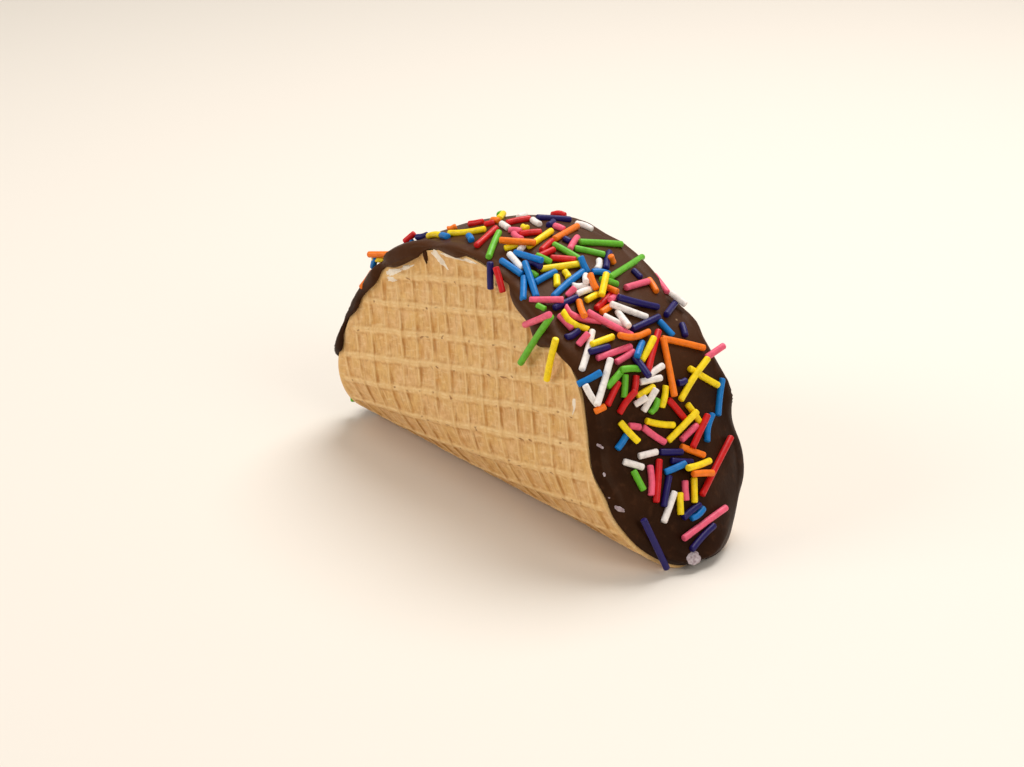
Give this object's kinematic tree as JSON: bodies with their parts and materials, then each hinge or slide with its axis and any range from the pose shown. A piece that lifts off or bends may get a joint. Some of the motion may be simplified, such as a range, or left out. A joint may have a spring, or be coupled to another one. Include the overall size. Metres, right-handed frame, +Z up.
{
  "type": "ice cream taco",
  "caption": "Ice cream taco: a folded waffle shell filled with ice cream, its open edge coated in dark chocolate and strewn with rod sprinkles, resting on its round fold.",
  "frame": {"origin": "on the floor under the middle of the fold, at the centre of the flat spot that it rests on", "axes": "+X along the fold towards the end with more coat showing, +Y towards the far flap, +Z up"},
  "size_m": [0.1244, 0.0442, 0.0656],
  "materials": {
    "waffle": "matt baked wafer with darker toasted marks",
    "ice_cream": "frozen cream",
    "chocolate": "satin dark chocolate with coloured sprinkles"
  },
  "bodies": {
    "root": {"waffle_shell": "waffle", "ice_cream": "ice_cream", "chocolate_coating": "chocolate"}
  },
  "joints": []
}
